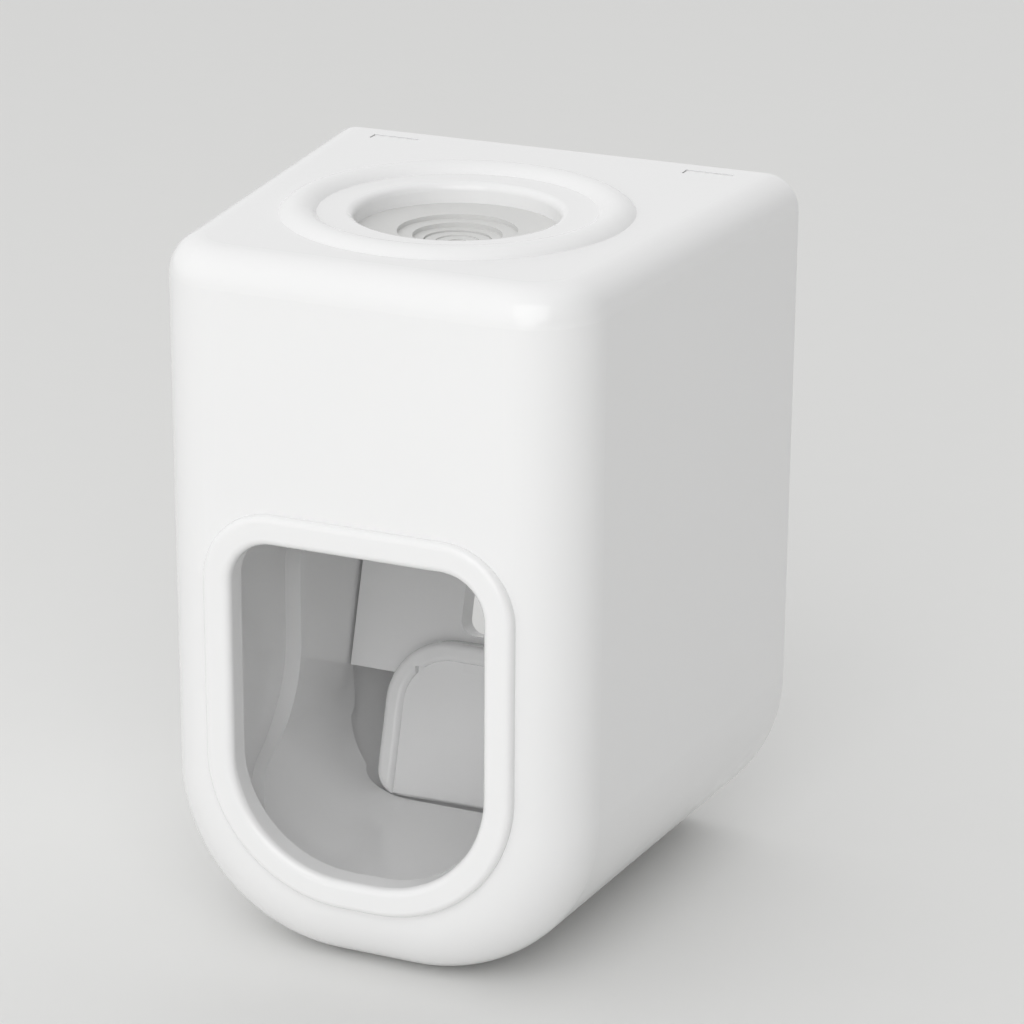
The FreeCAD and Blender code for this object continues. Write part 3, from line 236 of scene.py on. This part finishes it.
def make_moulded_skin():
    """Injection-moulded plastic: flow shading, faint handling marks and a fine peel."""
    group, start, end = new_group(
        "moulded_skin",
        [
            ("Place", "NodeSocketVector", None),
            ("Colour", "NodeSocketColor", (0.87, 0.87, 0.87, 1.0)),
            ("Shade spread", "NodeSocketFloat", 0.02),
            ("Roughness", "NodeSocketFloat", 0.2),
            ("Roughness spread", "NodeSocketFloat", 0.06),
            ("Peel scale", "NodeSocketFloat", 700.0),
        ],
        [
            ("Colour", "NodeSocketColor"),
            ("Roughness", "NodeSocketFloat"),
            ("Height", "NodeSocketFloat"),
        ],
    )
    given = start.outputs
    flow = noise(group, given["Place"], FLOW_SCALE, FLOW_DETAIL)
    shade = spread_about(group, flow, 1.0, given["Shade spread"])
    feed(group, tinted(group, given["Colour"], shade), end.inputs["Colour"])

    marks = noise(group, given["Place"], MARK_SCALE, MARK_DETAIL)
    roughness = spread_about(group, marks, given["Roughness"], given["Roughness spread"])
    feed(group, roughness, end.inputs["Roughness"])

    peel = noise(group, given["Place"], given["Peel scale"], PEEL_DETAIL)
    feed(group, peel, end.inputs["Height"])
    return group


def make_cast_skin():
    """Cast silicone or foam: cloudy shade and small pits."""
    group, start, end = new_group(
        "cast_skin",
        [
            ("Place", "NodeSocketVector", None),
            ("Colour", "NodeSocketColor", (0.6, 0.6, 0.6, 1.0)),
            ("Shade spread", "NodeSocketFloat", 0.08),
            ("Pit scale", "NodeSocketFloat", 900.0),
        ],
        [("Colour", "NodeSocketColor"), ("Height", "NodeSocketFloat")],
    )
    given = start.outputs
    cloud = noise(group, given["Place"], CLOUD_SCALE, CLOUD_DETAIL)
    shade = spread_about(group, cloud, 1.0, given["Shade spread"])
    feed(group, tinted(group, given["Colour"], shade), end.inputs["Colour"])

    pits = add_node(group, "ShaderNodeTexVoronoi")
    feed(group, given["Place"], pits.inputs["Vector"])
    feed(group, given["Pit scale"], pits.inputs["Scale"])
    feed(group, pits.outputs["Distance"], end.inputs["Height"])
    return group


moulded_skin = make_moulded_skin()
cast_skin = make_cast_skin()


# Finishes


def new_material(name):
    """A material with its shader and its object coordinates."""
    material = bpy.data.materials.new(name)
    material.use_nodes = True
    tree = material.node_tree
    shader = tree.nodes["Principled BSDF"]
    place = add_node(tree, "ShaderNodeTexCoord").outputs["Object"]
    return material, tree, shader, place


def placed_group(tree, group, place, values):
    """A shared effect placed in a material with its own values."""
    node = add_node(tree, "ShaderNodeGroup", node_tree=group)
    feed(tree, place, node.inputs["Place"])
    for label, value in values.items():
        node.inputs[label].default_value = value
    return node


def relief(tree, shader, height, depth, strength):
    """A bump from a height, on the shader's normal."""
    bump = add_node(tree, "ShaderNodeBump")
    bump.inputs["Distance"].default_value = depth
    bump.inputs["Strength"].default_value = strength
    feed(tree, height, bump.inputs["Height"])
    feed(tree, bump.outputs["Normal"], shader.inputs["Normal"])


def moulded_plastic(name, colour, roughness, peel_depth, peel_scale):
    """White moulded plastic, from gloss to satin."""
    material, tree, shader, place = new_material(name)
    skin = placed_group(tree, moulded_skin, place, {
        "Colour": (*colour, 1.0),
        "Roughness": roughness,
        "Peel scale": peel_scale,
    })
    feed(tree, skin.outputs["Colour"], shader.inputs["Base Color"])
    feed(tree, skin.outputs["Roughness"], shader.inputs["Roughness"])
    relief(tree, shader, skin.outputs["Height"], peel_depth, PEEL_STRENGTH)
    shader.inputs["IOR"].default_value = PLASTIC_IOR
    return material


def cast_rubber(name, colour, roughness, pit_scale, pit_depth):
    """Silicone and foam tape."""
    material, tree, shader, place = new_material(name)
    skin = placed_group(tree, cast_skin, place, {
        "Colour": (*colour, 1.0),
        "Pit scale": pit_scale,
    })
    feed(tree, skin.outputs["Colour"], shader.inputs["Base Color"])
    relief(tree, shader, skin.outputs["Height"], pit_depth, PIT_STRENGTH)
    shader.inputs["Roughness"].default_value = roughness
    shader.inputs["IOR"].default_value = SILICONE_IOR
    return material


def drawn_steel(name):
    """Bright steel with fine lines along its drawing direction."""
    material, tree, shader, place = new_material(name)
    stretch = add_node(tree, "ShaderNodeMapping")
    stretch.inputs["Scale"].default_value = LINE_STRETCH
    feed(tree, place, stretch.inputs["Vector"])
    lines = noise(tree, stretch.outputs["Vector"], LINE_SCALE, LINE_DETAIL)
    roughness = spread_about(tree, lines, STEEL_ROUGHNESS, STEEL_ROUGHNESS_SPREAD)
    feed(tree, roughness, shader.inputs["Roughness"])
    relief(tree, shader, lines, LINE_DEPTH, LINE_STRENGTH)
    shader.inputs["Base Color"].default_value = (*STEEL_COLOUR, 1.0)
    shader.inputs["Metallic"].default_value = 1.0
    return material


FINISHES = {
    "shell_plastic": moulded_plastic(
        "shell_plastic", colour=(0.87, 0.87, 0.87), roughness=0.17,
        peel_depth=0.006 * MM, peel_scale=650.0,
    ),
    # inner_plastic is the shell's white plastic painted lighter (0.95 against 0.87): painted light,
    # standing in for light that reaches the inside through the window.
    "inner_plastic": moulded_plastic(
        "inner_plastic", colour=(0.95, 0.95, 0.95), roughness=0.17,
        peel_depth=0.008 * MM, peel_scale=700.0,
    ),
    "bracket_plastic": moulded_plastic(
        "bracket_plastic", colour=(0.82, 0.82, 0.81), roughness=0.42,
        peel_depth=0.02 * MM, peel_scale=1400.0,
    ),
    "silicone": cast_rubber(
        "silicone", colour=(0.68, 0.68, 0.67), roughness=0.42,
        pit_scale=1200.0, pit_depth=0.01 * MM,
    ),
    "foam_tape": cast_rubber(
        "foam_tape", colour=(0.80, 0.80, 0.79), roughness=0.75,
        pit_scale=2200.0, pit_depth=0.06 * MM,
    ),
    "steel": drawn_steel("steel"),
}


def finish_nodes():
    """Each CAD node takes the finish that the record names for it."""
    for subpart in frame["record"]["subparts"]:
        mesh = nodes[subpart["node"]].data
        mesh.materials.clear()
        mesh.materials.append(FINISHES[subpart["material_slot"]])


# Modelling helpers


def deselect_all():
    """Nothing selected, in object mode."""
    bpy.ops.object.select_all(action="DESELECT")


def select_only(piece, kind, wanted):
    """Goes into edit mode with only the wanted edges or faces selected."""
    bpy.ops.object.mode_set(mode="EDIT")
    bpy.ops.mesh.select_mode(type=kind)
    bpy.ops.mesh.select_all(action="DESELECT")
    bpy.ops.object.mode_set(mode="OBJECT")
    mesh = piece.data
    for element in mesh.edges if kind == "EDGE" else mesh.polygons:
        element.select = wanted(element)
    bpy.ops.object.mode_set(mode="EDIT")


def apply_modifier(piece, kind, **settings):
    """Adds one modifier and applies it."""
    modifier = piece.modifiers.new(kind.lower(), kind)
    for name, value in settings.items():
        setattr(modifier, name, value)
    bpy.context.view_layer.objects.active = piece
    bpy.ops.object.modifier_apply(modifier=modifier.name)


def settle(piece):
    """Puts the piece's place into its mesh, turns its faces outwards and smooths their shading."""
    deselect_all()
    piece.select_set(True)
    bpy.context.view_layer.objects.active = piece
    bpy.ops.object.transform_apply(location=True, rotation=True, scale=True)
    bpy.ops.object.mode_set(mode="EDIT")
    bpy.ops.mesh.select_all(action="SELECT")
    bpy.ops.mesh.remove_doubles(threshold=MERGE_DISTANCE)
    bpy.ops.mesh.normals_make_consistent(inside=False)
    bpy.ops.object.mode_set(mode="OBJECT")
    bpy.ops.object.shade_smooth_by_angle(angle=SMOOTH_ANGLE)


def bead_corners(piece, width):
    """Rounds the piece's sharp corners a little."""
    apply_modifier(
        piece, "BEVEL", width=width, segments=BEAD_SEGMENTS, limit_method="ANGLE",
        angle_limit=CORNER_ANGLE,
    )


def dress(piece, slot, body):
    """Gives a piece its finish, and the body that it moves with."""
    piece.data.materials.append(FINISHES[slot])
    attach(piece, body)


# Pieces that give way


def add_sleeve_length(name, centre, radius, low, high):
    """One closed length of the sleeve's wall with softly rounded ends."""
    deselect_all()
    bpy.ops.mesh.primitive_cylinder_add(
        vertices=SLEEVE_SIDES, radius=radius, depth=high - low, end_fill_type="NOTHING",
        location=(centre.x, centre.y, (low + high) / 2),
    )
    piece = bpy.context.object
    piece.name = name
    bpy.ops.object.mode_set(mode="EDIT")
    bpy.ops.mesh.select_all(action="SELECT")
    bpy.ops.mesh.normals_make_consistent(inside=False)
    bpy.ops.object.mode_set(mode="OBJECT")
    apply_modifier(piece, "SOLIDIFY", thickness=SLEEVE_SKIN, offset=-1.0, use_even_offset=True)
    bead_corners(piece, SLEEVE_BEAD)
    settle(piece)
    return piece


def make_sleeve():
    """The pump sleeve: two cuffs held on their spigots, and the middle that the lever squeezes."""
    low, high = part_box("squeeze_sleeve")
    collar_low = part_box("inlet_collar")[0][2]
    nozzle_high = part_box("nozzle")[1][2]
    centre = (Vector(low) + Vector(high)) / 2
    radius = (high[0] - low[0]) / 2
    lower_joint = nozzle_high + CUFF_CLEARANCE
    upper_joint = collar_low - CUFF_CLEARANCE

    lower_cuff = add_sleeve_length("sleeve_lower_cuff", centre, radius, low[2], lower_joint)
    middle = add_sleeve_length("sleeve_middle", centre, radius, lower_joint, upper_joint)
    upper_cuff = add_sleeve_length("sleeve_upper_cuff", centre, radius, upper_joint, high[2])
    for piece in (lower_cuff, middle, upper_cuff):
        dress(piece, "silicone", "dispenser")
        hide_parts("squeeze_sleeve")
    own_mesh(middle)


def make_spring():
    """The return spring: one round wire wound into an open coil between plate and lever."""
    deselect_all()
    bpy.ops.mesh.primitive_circle_add(
        vertices=SPRING_SIDES, radius=SPRING_WIRE / 2, fill_type="NOTHING",
        location=(SPRING_RADIUS, 0, SPRING_START), rotation=(math.pi / 2, 0, 0),
    )
    piece = bpy.context.object
    piece.name = "return_coil"
    bpy.ops.object.transform_apply(location=True, rotation=True, scale=True)
    apply_modifier(
        piece, "SCREW", axis="Z", angle=2 * math.pi * SPRING_TURNS, screw_offset=SPRING_LENGTH,
        steps=SPRING_STEPS * SPRING_TURNS, render_steps=SPRING_STEPS * SPRING_TURNS,
    )
    bpy.ops.object.mode_set(mode="EDIT")
    bpy.ops.mesh.select_all(action="SELECT")
    bpy.ops.mesh.fill_holes(sides=0)
    bpy.ops.object.mode_set(mode="OBJECT")
    piece.rotation_euler = (math.pi / 2 - SPRING_LEAN, 0, 0)
    piece.location = SPRING_FOOT
    settle(piece)
    dress(piece, "steel", "dispenser")
    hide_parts("return_spring")
    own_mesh(piece)


# Small moulded faces


def make_pad_face():
    """The push pad's dished face: a block with two round corners, hollowed by a wide cylinder."""
    width = 2 * DISH_HALF
    depth = DISH_BACK - DISH_FRONT
    height = DISH_TOP - DISH_BOTTOM
    deselect_all()
    bpy.ops.mesh.primitive_cube_add(
        size=1.0, location=(0, (DISH_FRONT + DISH_BACK) / 2, (DISH_TOP + DISH_BOTTOM) / 2),
    )
    piece = bpy.context.object
    piece.name = "pad_face"
    piece.scale = (width, depth, height)
    bpy.ops.object.transform_apply(location=True, rotation=True, scale=True)

    def is_top_corner(edge):
        """True for the two edges that run from front to back at the top."""
        first, second = (piece.data.vertices[number].co for number in edge.vertices)
        level = min(first.z, second.z) > DISH_TOP - DISH_BEAD
        return level and abs(first.x - second.x) < DISH_BEAD

    select_only(piece, "EDGE", is_top_corner)
    bpy.ops.mesh.bevel(offset=DISH_ROUND, segments=DISH_ROUND_SEGMENTS, affect="EDGES")
    bpy.ops.object.mode_set(mode="OBJECT")

    radius = (DISH_HALF ** 2 + DISH_DEPTH ** 2) / (2 * DISH_DEPTH)
    deselect_all()
    bpy.ops.mesh.primitive_cylinder_add(
        vertices=DISH_SIDES, radius=radius, depth=2 * height,
        location=(0, DISH_FRONT + DISH_DEPTH - radius, (DISH_TOP + DISH_BOTTOM) / 2),
    )
    cutter = bpy.context.object
    apply_modifier(piece, "BOOLEAN", operation="DIFFERENCE", object=cutter)
    bpy.data.objects.remove(cutter)
    bead_corners(piece, DISH_BEAD)
    piece.rotation_euler = (-LEVER_TILT, 0, 0)
    piece.location = PIVOT
    settle(piece)
    # The pad face takes inner_plastic, whose lighter colour is painted light on the push pad.
    dress(piece, "inner_plastic", "lever")


def make_membrane():
    """The thin stepped membrane that closes the tube seal until a tube is pressed in."""
    low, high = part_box("tube_seal")
    centre = (low + high) / 2
    deselect_all()
    bpy.ops.mesh.primitive_cylinder_add(
        vertices=MEMBRANE_SIDES, radius=SEAL_BORE - MEMBRANE_SLACK, depth=MEMBRANE_SKIN,
        location=(centre.x, centre.y, low.z + MEMBRANE_GAP + MEMBRANE_SKIN / 2),
    )
    piece = bpy.context.object
    piece.name = "seal_membrane"
    select_only(piece, "FACE", lambda face: face.normal.z > UPWARD)
    for _ in range(MEMBRANE_RINGS):
        bpy.ops.mesh.inset(thickness=MEMBRANE_RING)
        bpy.ops.mesh.extrude_region_move(TRANSFORM_OT_translate={"value": (0, 0, -MEMBRANE_STEP)})
    bpy.ops.object.mode_set(mode="OBJECT")
    settle(piece)
    dress(piece, "silicone", "dispenser")


# Stage, light and camera


def make_floor():
    """A plain pale floor under the dispenser."""
    deselect_all()
    bpy.ops.mesh.primitive_plane_add(size=FLOOR_WIDTH, location=(0, 0, cad_box[0][2]))
    floor = bpy.context.object
    floor.name = "floor"
    material, tree, shader, place = new_material("floor_paper")
    skin = placed_group(tree, cast_skin, place, {
        "Colour": (*FLOOR_COLOUR, 1.0),
        "Shade spread": FLOOR_SHADE_SPREAD,
    })
    feed(tree, skin.outputs["Colour"], shader.inputs["Base Color"])
    shader.inputs["Roughness"].default_value = FLOOR_ROUGHNESS
    floor.data.materials.append(material)


def make_light():
    """A soft box in front, a low one that fills the window, and a sky that is darker on the right."""
    world = bpy.data.worlds.new("studio")
    world.use_nodes = True
    tree = world.node_tree
    sky = tree.nodes["Background"]
    sky.inputs["Color"].default_value = (1.0, 1.0, 1.0, 1.0)
    direction = add_node(tree, "ShaderNodeSeparateXYZ")
    around = add_node(tree, "ShaderNodeTexCoord").outputs["Generated"]
    feed(tree, around, direction.inputs["Vector"])
    fall = add_node(tree, "ShaderNodeMapRange", interpolation_type="SMOOTHSTEP")
    feed(tree, direction.outputs["X"], fall.inputs["Value"])
    fall.inputs["From Min"].default_value = SKY_FALL_START
    fall.inputs["From Max"].default_value = SKY_FALL_END
    fall.inputs["To Min"].default_value = SKY_LEVEL
    fall.inputs["To Max"].default_value = SKY_LEVEL * SKY_RIGHT_SHARE
    feed(tree, fall.outputs["Result"], sky.inputs["Strength"])
    bpy.context.scene.world = world
    for name, lamp in LAMPS.items():
        data = bpy.data.lights.new(name, "AREA")
        data.shape = "SQUARE"
        data.size = lamp["width"]
        data.energy = lamp["watts"]
        softbox = bpy.data.objects.new(name, data)
        softbox.location = lamp["place"]
        aim = CAMERA_TARGET - softbox.location
        softbox.rotation_euler = aim.to_track_quat("-Z", "Y").to_euler()
        bpy.context.scene.collection.objects.link(softbox)


def make_camera():
    """The photograph's viewing angle."""
    data = bpy.data.cameras.new("photo_view")
    data.lens = CAMERA_LENS
    data.sensor_width = SENSOR_WIDTH
    data.clip_start = CAMERA_NEAR
    camera = bpy.data.objects.new("photo_view", data)
    facing = (CAMERA_TARGET - CAMERA_PLACE).to_track_quat("-Z", "Y").to_matrix()
    turned = facing @ Euler((0, 0, CAMERA_ROLL)).to_matrix()
    camera.matrix_world = Matrix.Translation(CAMERA_PLACE) @ turned.to_4x4()
    bpy.context.scene.collection.objects.link(camera)
    bpy.context.scene.camera = camera


finish_nodes()
make_sleeve()
make_spring()
make_pad_face()
make_membrane()
make_floor()
make_light()
make_camera()
bpy.context.scene.view_settings.view_transform = "Standard"
